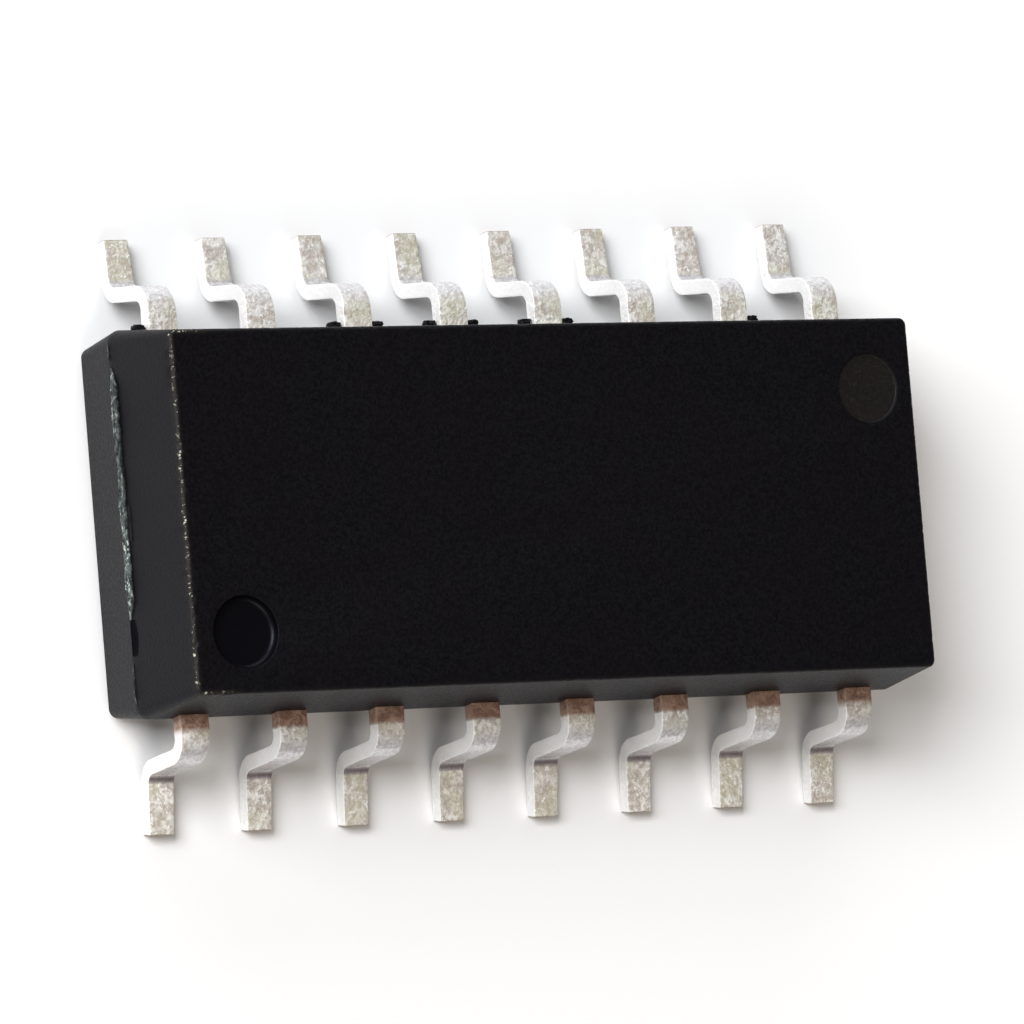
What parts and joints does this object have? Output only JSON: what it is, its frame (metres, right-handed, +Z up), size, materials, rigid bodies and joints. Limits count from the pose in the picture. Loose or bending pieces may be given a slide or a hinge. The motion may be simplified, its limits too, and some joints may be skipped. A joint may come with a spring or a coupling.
{
  "type": "small-outline chip package",
  "caption": "Black moulded small-outline chip with gull-wing leads along both long sides, a round index mark at one corner, and die, paddle and bond wires sealed inside.",
  "frame": {"origin": "on the seating plane under the middle of the body", "axes": "+X along the body away from the end with the index mark, +Y towards the row of leads 9 to 16, +Z up out of the top face"},
  "size_m": [0.0102, 0.007, 0.0022],
  "materials": {
    "moulding_compound": "matt black epoxy moulding compound with a fine grain",
    "tin_plated_lead": "dull tin plating, mottled and uneven",
    "lead_frame_copper": "bare copper alloy sheet",
    "die_attach_epoxy": "silver-filled epoxy",
    "silicon": "polished silicon",
    "bond_wire_gold": "drawn gold"
  },
  "bodies": {
    "root": {"mould_body": "moulding_compound", "lead_01": "tin_plated_lead", "lead_02": "tin_plated_lead", "lead_03": "tin_plated_lead", "lead_04": "tin_plated_lead", "lead_05": "tin_plated_lead", "lead_06": "tin_plated_lead", "lead_07": "tin_plated_lead", "lead_08": "tin_plated_lead", "lead_09": "tin_plated_lead", "lead_10": "tin_plated_lead", "lead_11": "tin_plated_lead", "lead_12": "tin_plated_lead", "lead_13": "tin_plated_lead", "lead_14": "tin_plated_lead", "lead_15": "tin_plated_lead", "lead_16": "tin_plated_lead", "die_paddle": "lead_frame_copper", "die_attach": "die_attach_epoxy", "die": "silicon", "bond_wire_01": "bond_wire_gold", "bond_wire_02": "bond_wire_gold", "bond_wire_03": "bond_wire_gold", "bond_wire_04": "bond_wire_gold", "bond_wire_05": "bond_wire_gold", "bond_wire_06": "bond_wire_gold", "bond_wire_07": "bond_wire_gold", "bond_wire_08": "bond_wire_gold", "bond_wire_09": "bond_wire_gold", "bond_wire_10": "bond_wire_gold", "bond_wire_11": "bond_wire_gold", "bond_wire_12": "bond_wire_gold", "bond_wire_13": "bond_wire_gold", "bond_wire_14": "bond_wire_gold", "bond_wire_15": "bond_wire_gold", "bond_wire_16": "bond_wire_gold"}
  },
  "joints": []
}
